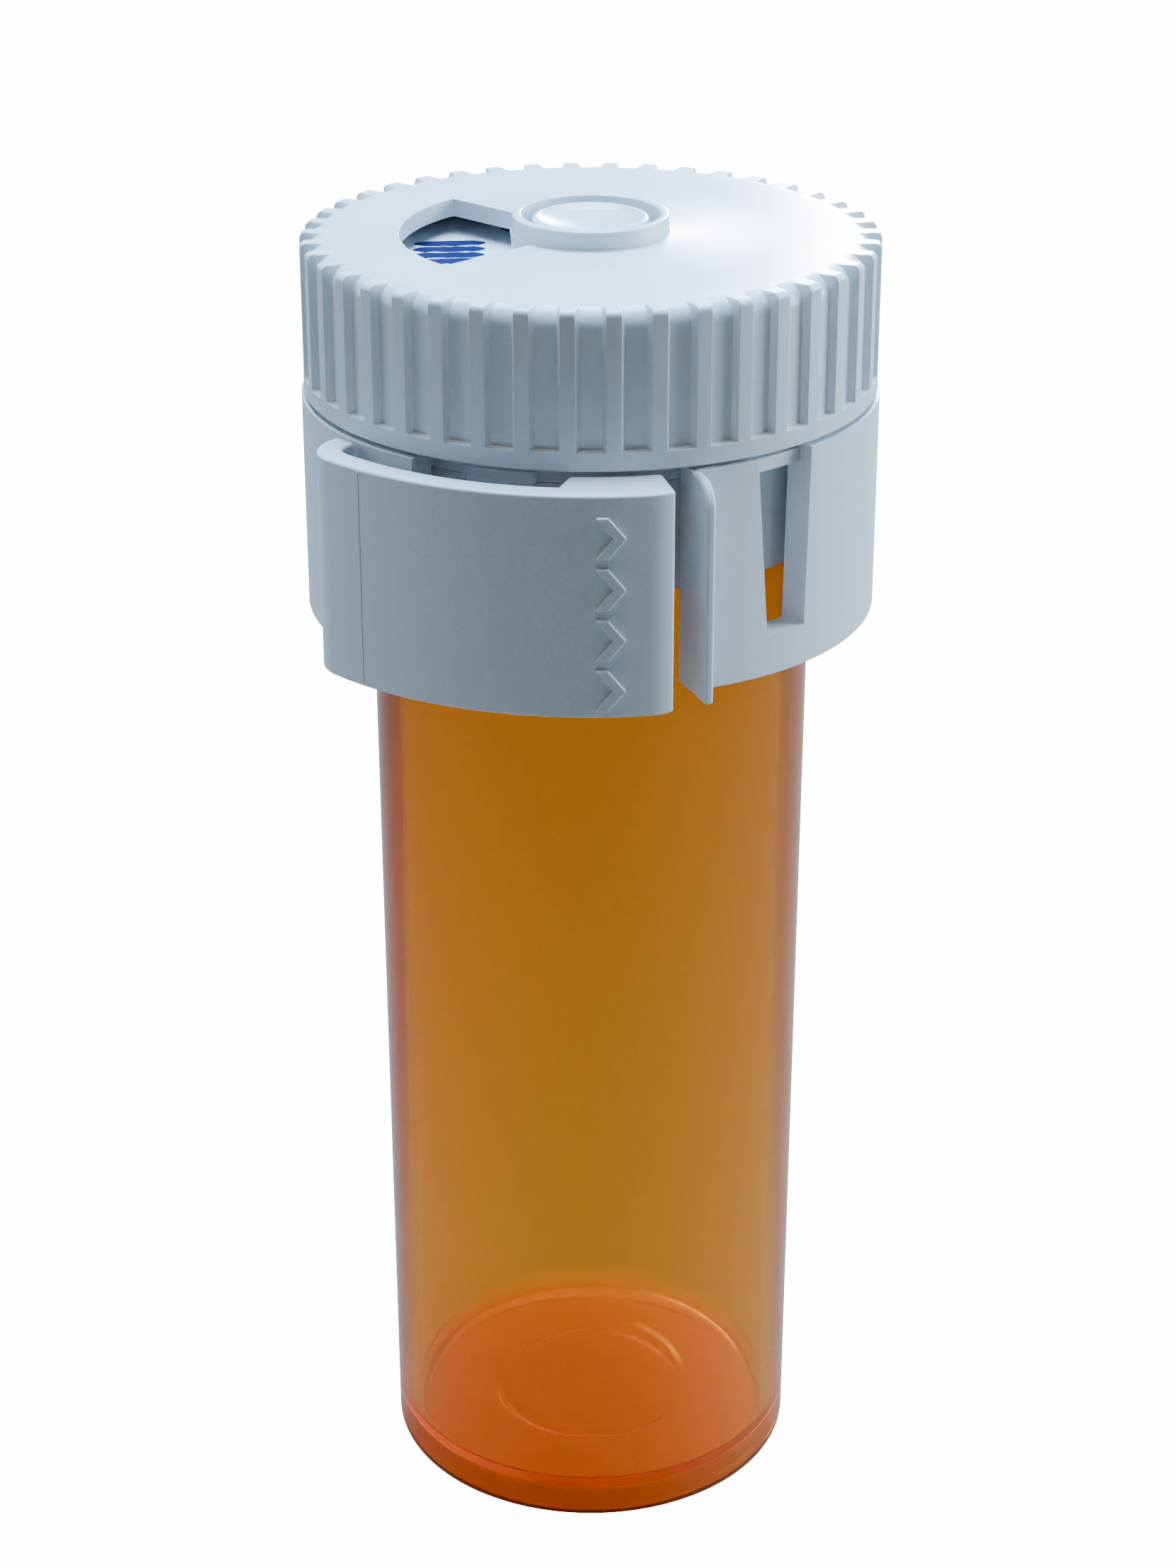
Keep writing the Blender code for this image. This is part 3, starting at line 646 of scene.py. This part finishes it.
class VIAL_OT_lever(bpy.types.Operator):
    """Build the push lever and its raised chevrons"""

    bl_idname = "vial.lever"
    bl_label = "Push lever"

    def execute(self, context):
        sizes = context.scene.closure_sizes
        white = finish_named("satin_white_polypropylene")
        skirt_outer = SKIRT_INNER + sizes.skirt_wall
        inner = skirt_outer + sizes.lever_room
        outer = inner + sizes.lever_leaf
        bm = raised(self.outline(inner, outer, skirt_outer, sizes), SKIRT_BOTTOM, SKIRT_TOP)
        obj = piece("push_lever_leaf", bm, white, "lever", ["push_lever"])
        ease(obj, sizes.edge)
        root = outer - 0.3 * MM
        foot, head = SKIRT_BOTTOM + sizes.edge, SKIRT_TOP - sizes.edge
        seam = sector(root, outer + 0.05 * MM, SEAM_START, SEAM_END, foot, head)
        obj = piece("lever_parting_line", seam, white, "lever", ["push_lever"])
        ease(obj, 0.02 * MM, 1)
        middle = (SKIRT_TOP + SKIRT_BOTTOM) / 2 - 0.5 * MM
        for i in range(MARKS):
            height = middle + (i - (MARKS - 1) / 2) * sizes.mark_pitch
            bm = self.chevron(root, outer + sizes.mark_rise, height, sizes)
            obj = piece(f"lever_mark_{i + 1}", bm, white, "lever", ["push_lever"])
            ease(obj, 0.12 * MM, 3)
        return {"FINISHED"}

    def outline(self, inner, outer, skirt_outer, sizes):
        """The lever in plan: leaf, pad, chamfered tip and curled root."""
        centre = polar(outer - sizes.curl, LEVER_ROOT)
        outward = radians(LEVER_ROOT - 90.0)

        def bend(size, start, end, steps):
            turn = [outward + radians(start + (end - start) * i / steps) for i in range(steps + 1)]
            return [centre + Vector((size * cos(a), size * sin(a))) for a in turn]

        outside = bend(sizes.curl, -90.0, 0.0, 14)
        inside = bend(sizes.curl - sizes.lever_leaf, 0.0, -90.0, 10)
        drop = polar(1.0, LEVER_ROOT) * (outer - sizes.curl - skirt_outer - FIT_GAP)
        points = [outside[0] - drop, *outside]
        points += arc(outer, LEVER_ROOT, BEVEL_START)[1:]
        points.append(polar(outer - 0.45 * MM, LEVER_TIP))
        points += arc(inner - sizes.pad, LEVER_TIP, PAD_START)
        points += arc(inner, PAD_START - PAD_RAMP, LEVER_ROOT)
        points += inside[1:]
        points.append(inside[-1] - drop)
        return points

    def chevron(self, root, face, height, sizes):
        """One raised mark, pointing at the lever's free end."""
        half, right = sizes.mark_height / 2, sizes.mark_width / 2
        left, arm = -right, sizes.mark_arm
        outline = [
            (left, -half),
            (left + arm, -half),
            (right, 0.0),
            (left + arm, half),
            (left, half),
            (right - arm, 0.0),
        ]
        bm = raised([Vector(p) for p in outline], root, face)
        stand = (
            Matrix.Translation((0, 0, height))
            @ Matrix.Rotation(radians(MARK_ANGLE), 4, "Z")
            @ Matrix.Rotation(pi / 2, 4, "X")
        )
        bmesh.ops.transform(bm, matrix=stand, verts=bm.verts)
        return bm


class VIAL_OT_disc(bpy.types.Operator):
    """Build the day disc and its seven printed tallies"""

    bl_idname = "vial.disc"
    bl_label = "Day disc"

    def execute(self, context):
        outer = DISC_HIGH[0]
        low, high = DISC_LOW[2], DISC_HIGH[2]
        edge = 0.15 * MM
        profile = [
            (SHANK_HOLE, low),
            (outer - edge, low),
            (outer, low + edge),
            (outer, high - edge),
            (outer - edge, high),
            (SHANK_HOLE, high),
        ]
        disc = finish_named("white_polystyrene")
        piece("day_disc_plate", spun(profile, 144), disc, "closure", ["day_disc"])
        draw = random.Random(7)
        ink = finish_named("pad_printed_ink")
        for day in range(DAYS):
            bm = bmesh.new()
            for stroke in range(day + 1):
                self.stroke(bm, stroke, day + 1, high, draw)
            turn = Matrix.Rotation(radians((day - DAYS // 2) * 360.0 / DAYS), 3, "Z")
            bmesh.ops.rotate(bm, verts=bm.verts, cent=(0, 0, 0), matrix=turn)
            bmesh.ops.recalc_face_normals(bm, faces=bm.faces)
            piece(f"day_print_{day + 1}", bm, ink, "closure")
        return {"FINISHED"}

    def stroke(self, bm, index, count, height, draw):
        """One printed stroke: a thin slab with ragged sides, running outwards along the sector."""
        pitch = 1.9 * MM
        middle = 4.0 * MM + (index - (count - 1) / 2) * pitch
        left, right = -14.9 * MM, -8.9 * MM
        half = 0.86 * MM
        steps = 12
        slant = 0.4 * MM
        top, bottom = [], []
        for i in range(steps + 1):
            share = i / steps
            x = left + (right - left) * share
            swell = min(1.0, 6 * share + 0.25, 6 * (1 - share) + 0.25)
            along = middle + slant * (share - 0.5)
            top.append(Vector((x, along + half * swell * draw.uniform(0.8, 1.05))))
            bottom.append(Vector((x, along - half * swell * draw.uniform(0.7, 1.05))))
        raised(bottom + top[::-1], height - INK_SINK, height + INK_RISE, bm)


class VIAL_OT_dial(bpy.types.Operator):
    """Build the ribbed day dial with its window and boss"""

    bl_idname = "vial.dial"
    bl_label = "Day dial"

    def execute(self, context):
        sizes = context.scene.dial_sizes
        top = DIAL_TOP - sizes.boss_rise
        window = DIAL_OUTER - sizes.window_rim
        boss = sizes.boss_radius
        hole = boss - sizes.boss_wall
        web = top - 1.3 * MM
        under = top - sizes.plate - sizes.boss_drop
        foot = 0.15 * MM
        side = [
            (DIAL_OUTER, DIAL_BOTTOM + sizes.band),
            (DIAL_OUTER, DIAL_BOTTOM + sizes.band + 0.1 * MM),
            (DIAL_OUTER, DIAL_BOTTOM + sizes.band + 0.35 * MM),
            (DIAL_OUTER, (DIAL_BOTTOM + top) / 2),
        ]
        deep = DIAL_OUTER - sizes.groove
        scoop = sizes.shoulder
        rib_top = corner(DIAL_OUTER - sizes.rib_corner, top - sizes.rib_corner, sizes.rib_corner, 0, 90, 9)
        rib_top.append((deep - scoop, top))
        groove_top = corner(deep - scoop, top - scoop, scoop, 0, 90, 10)
        ribs = side + rib_top
        grooves = [side[0]] + [(deep, z) for r, z in side[1:]] + groove_top
        below = [
            (DIAL_OUTER - sizes.wall, DIAL_BOTTOM),
            (DIAL_OUTER - 0.15 * MM, DIAL_BOTTOM),
            (DIAL_OUTER, DIAL_BOTTOM + 0.15 * MM),
            (DIAL_OUTER, DIAL_BOTTOM + sizes.band - 0.3 * MM),
        ]
        inside = [
            (deep - scoop - 0.8 * MM, top),
            (window, top),
            *corner(boss + foot, top + foot, foot, 270, 180, 3),
            *corner(boss - 0.18 * MM, DIAL_TOP - 0.18 * MM, 0.18 * MM, 0, 90, 3),
            *corner(hole + 0.12 * MM, DIAL_TOP - 0.12 * MM, 0.12 * MM, 90, 180, 3),
            (hole, web),
            (SHANK_HOLE, web),
            (SHANK_HOLE, under),
            (boss, under),
            (boss, top - sizes.plate),
            (window, top - sizes.plate),
            (DIAL_OUTER - sizes.wall, top - sizes.plate),
        ]
        bm = self.ribbed(below, ribs, grooves, inside, sizes)
        dial = finish_named("silky_white_polypropylene")
        obj = piece("ribbed_day_dial", bm, dial, "dial", ["day_dial"], 40)
        ease(obj, 0.2 * MM, 3, 40)
        return {"FINISHED"}

    def ribbed(self, below, ribs, grooves, inside, sizes):
        """Spin the ribs' section, sink the grooves to theirs, and open the window."""
        steps = sizes.ribs * STEPS_PER_RIB
        bm = bmesh.new()
        row = bm.verts.layers.int.new("row")
        verts = []
        for i, (r, z) in enumerate(below + ribs + inside):
            vert = bm.verts.new((r, 0.0, z))
            vert[row] = i - len(below)
            verts.append(vert)
        edges = [bm.edges.new(pair) for pair in zip(verts, verts[1:])]
        edges.append(bm.edges.new((verts[-1], verts[0])))
        bmesh.ops.spin(
            bm, geom=verts + edges, cent=(0, 0, 0), axis=(0, 0, 1), angle=2 * pi, steps=steps, use_merge=True
        )
        pitch = 2 * pi / sizes.ribs
        for v in bm.verts:
            if not 0 <= v[row] < len(ribs):
                continue
            flat = Vector((v.co.x, v.co.y))
            turn = Vector((0, -1)).angle_signed(flat, 0.0) / pitch
            across = abs(turn % 1.0 - 0.5) * 2
            share = min(1.0, max(0.0, (across - sizes.rib_share) * 6))
            r, z = Vector(ribs[v[row]]).lerp(Vector(grooves[v[row]]), share)
            v.co = (*(flat.normalized() * r), z)
        bmesh.ops.remove_doubles(bm, verts=bm.verts, dist=0.002 * MM)
        self.open_window(bm, sizes)
        bmesh.ops.recalc_face_normals(bm, faces=bm.faces)
        return bm

    def open_window(self, bm, sizes):
        """Delete the plate's faces inside the window's angle and wall the hole's sides."""
        top = DIAL_TOP - sizes.boss_rise
        window = DIAL_OUTER - sizes.window_rim
        boss = sizes.boss_radius
        low, high = top - sizes.plate - 0.005 * MM, top + 0.005 * MM

        def inside(face):
            centre = face.calc_center_median()
            flat = Vector((centre.x, centre.y))
            angle = abs(Vector((-1, 0)).angle_signed(flat, 0.0))
            in_sector = angle < radians(WINDOW_HALF_ANGLE) and boss < flat.length < window
            return in_sector and low < centre.z < high

        gone = [f for f in bm.faces if inside(f)]
        bmesh.ops.delete(bm, geom=gone, context="FACES")
        rim = [e for e in bm.edges if e.is_boundary]
        bmesh.ops.bridge_loops(bm, edges=rim)


class VIAL_OT_stud(bpy.types.Operator):
    """Build the dished pivot stud in the dial's boss"""

    bl_idname = "vial.stud"
    bl_label = "Pivot stud"

    def execute(self, context):
        low, high = STUD_LOW[2], STUD_HIGH[2]
        radius = STUD_HIGH[0]
        head = high - 2.25 * MM
        groove = SHANK - 0.55 * MM
        lip = 0.35 * MM
        dish = radius - 2 * lip
        curve = [(dish * (1 - i / 8), high - 0.95 * MM + 0.75 * MM * ((8 - i) / 8) ** 2) for i in range(9)]
        profile = [
            (0.0, low),
            (groove, low),
            (SHANK, low + 0.3 * MM),
            (SHANK, low + 0.6 * MM),
            (groove, low + 0.6 * MM),
            (groove, low + 2.2 * MM),
            (SHANK, low + 2.2 * MM),
            (SHANK, head),
            *corner(radius - 0.15 * MM, head + 0.15 * MM, 0.15 * MM, -90, 0, 3),
            *corner(radius - lip, high - lip, lip, 0, 130, 8),
            *curve,
        ]
        bm = spun(profile, 96, closed=False)
        white = finish_named("silky_white_polypropylene")
        piece("dished_stud", bm, white, "closure", ["pivot_stud"])
        return {"FINISHED"}


class VIAL_OT_hidden(bpy.types.Operator):
    """Give the seal, collar, clip and spring their real finishes"""

    bl_idname = "vial.hidden"
    bl_label = "Seal, collar, clip and spring"

    def execute(self, context):
        finishes = {
            "seal_ring": "pressed_seal_foam",
            "bayonet_collar": "satin_white_polypropylene",
            "stud_clip": "natural_acetal",
            "index_spring": "natural_acetal",
        }
        for node, name in finishes.items():
            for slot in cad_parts[node].material_slots:
                slot.material = finish_named(name)
        return {"FINISHED"}


class VIAL_OT_stage(bpy.types.Operator):
    """Build the pale floor, the soft lights and the camera"""

    bl_idname = "vial.stage"
    bl_label = "Stage"

    def execute(self, context):
        self.floor(rgba(context.scene.vial_colours.floor))
        world = bpy.data.worlds.new("studio")
        world.use_nodes = True
        world.node_tree.nodes["Background"].inputs["Color"].default_value = hex_colour("#F0EBE0")
        world.node_tree.nodes["Background"].inputs["Strength"].default_value = 0.038
        context.scene.world = world
        self.light("window", (0.15, 0.62, 0.25), 0.18, 10.0, "#EAF5FF")
        self.light("right_wall", (0.60, 0.08, 0.25), 0.35, 6.6, "#D4E9FF")
        self.light("left_wall", (-0.60, 0.10, 0.25), 0.35, 2.0, "#D4E6FF")
        self.light("sky", (0.0, 0.22, 0.75), 0.50, 30.0, "#A8D4FF")
        self.light("front_top", (-0.06, -0.22, 0.80), 0.30, 1.1, "#F6F0E4")
        self.camera(context)
        return {"FINISHED"}

    def floor(self, tint):
        """A wide sheet that curves up behind the vial."""
        bm = bmesh.new()
        row = [(-1.5, 0.0), (0.9, 0.0)]
        row += [(0.9 + 0.5 * sin(radians(a)), 0.5 - 0.5 * cos(radians(a))) for a in range(10, 91, 10)]
        row.append((1.4, 2.2))
        verts = [bm.verts.new((-2.5, y, z)) for y, z in row]
        edges = [bm.edges.new(pair) for pair in zip(verts, verts[1:])]
        grown = bmesh.ops.extrude_edge_only(bm, edges=edges)["geom"]
        moved = [v for v in grown if isinstance(v, bmesh.types.BMVert)]
        bmesh.ops.translate(bm, verts=moved, vec=(5.0, 0, 0))
        bmesh.ops.recalc_face_normals(bm, faces=bm.faces)
        mesh = bpy.data.meshes.new("studio_floor")
        bm.to_mesh(mesh)
        bm.free()
        mesh.shade_smooth()
        mesh.materials.append(self.paper(tint))
        obj = bpy.data.objects.new("studio_floor", mesh)
        bpy.context.scene.collection.objects.link(obj)

    def paper(self, tint):
        """Matt seamless paper that glows to the camera alone, so it shows white with a faint shadow."""
        finish, tree = new_material("seamless_paper")
        place = add_node(tree, "ShaderNodeTexCoord").outputs["Object"]
        tooth = add_node(tree, "ShaderNodeTexNoise", {"Vector": place, "Scale": 1 / (1.5 * MM)})
        bump = add_node(tree, "ShaderNodeBump", {"Height": tooth.outputs["Fac"], "Distance": 0.02 * MM})
        sheet = add_node(
            tree,
            "ShaderNodeBsdfDiffuse",
            {"Color": (0.19, 0.17, 0.15, 1.0), "Normal": bump.outputs["Normal"]},
        )
        glow = add_node(tree, "ShaderNodeEmission", {"Color": tint, "Strength": 14.0})
        both = add_node(tree, "ShaderNodeAddShader")
        tree.links.new(sheet.outputs["BSDF"], both.inputs[0])
        tree.links.new(glow.outputs["Emission"], both.inputs[1])
        ray = add_node(tree, "ShaderNodeLightPath")
        shown = add_node(tree, "ShaderNodeMixShader", {"Fac": ray.outputs["Is Camera Ray"]})
        tree.links.new(sheet.outputs["BSDF"], shown.inputs[1])
        tree.links.new(both.outputs["Shader"], shown.inputs[2])
        add_node(tree, "ShaderNodeOutputMaterial", {"Surface": shown.outputs["Shader"]})
        return finish

    def light(self, name, place, size, power, tint):
        """A square soft box aimed at the closure."""
        data = bpy.data.lights.new(name, "AREA")
        data.color = hex_colour(tint)[:3]
        data.size = size
        data.energy = power
        obj = bpy.data.objects.new(name, data)
        obj.location = place
        aim = Vector((0, 0, 0.08)) - Vector(place)
        obj.rotation_euler = aim.to_track_quat("-Z", "Y").to_euler()
        bpy.context.scene.collection.objects.link(obj)

    def camera(self, context):
        """A moderate long lens, a little above the dial."""
        data = bpy.data.cameras.new("camera")
        data.lens = 75.88
        data.shift_x = -0.00175
        data.clip_start = 0.01
        obj = bpy.data.objects.new("camera", data)
        obj.location = (0.0, -0.26684, 0.18523)
        obj.rotation_euler = (radians(90 - 24.17), 0.0, 0.0)
        context.scene.collection.objects.link(obj)
        context.scene.camera = obj


class VIAL_PT_panel(bpy.types.Panel):
    """Sizes, colours and builders of the vial"""

    bl_idname = "VIAL_PT_panel"
    bl_label = "Prescription vial"
    bl_space_type = "VIEW_3D"
    bl_region_type = "UI"
    bl_category = "Vial"

    def draw(self, context):
        for group in GROUPS:
            box = self.layout.box()
            settings = getattr(context.scene, group)
            for prop in settings.bl_rna.properties:
                if prop.identifier not in ("rna_type", "name"):
                    box.prop(settings, prop.identifier)
        for operator in BUILDERS:
            self.layout.operator(operator.bl_idname)


GROUPS = {
    "vial_sizes": VialSizes,
    "closure_sizes": ClosureSizes,
    "dial_sizes": DialSizes,
    "vial_colours": VialColours,
}
BUILDERS = (
    VIAL_OT_body,
    VIAL_OT_drum,
    VIAL_OT_skirt,
    VIAL_OT_lever,
    VIAL_OT_disc,
    VIAL_OT_dial,
    VIAL_OT_stud,
    VIAL_OT_hidden,
    VIAL_OT_stage,
)


def register():
    """Add the property groups, operators and panel."""
    for name, group in GROUPS.items():
        bpy.utils.register_class(group)
        setattr(bpy.types.Scene, name, PointerProperty(type=group))
    for cls in BUILDERS + (VIAL_PT_panel,):
        bpy.utils.register_class(cls)


def unregister():
    """Remove everything that register added."""
    for cls in reversed(BUILDERS + (VIAL_PT_panel,)):
        bpy.utils.unregister_class(cls)
    for name, group in GROUPS.items():
        delattr(bpy.types.Scene, name)
        bpy.utils.unregister_class(group)


def main():
    """Build every piece in order."""
    register()
    for operator in BUILDERS:
        group, name = operator.bl_idname.split(".")
        getattr(getattr(bpy.ops, group), name)()
    bpy.context.view_layer.update()


if __name__ == "__main__":
    main()
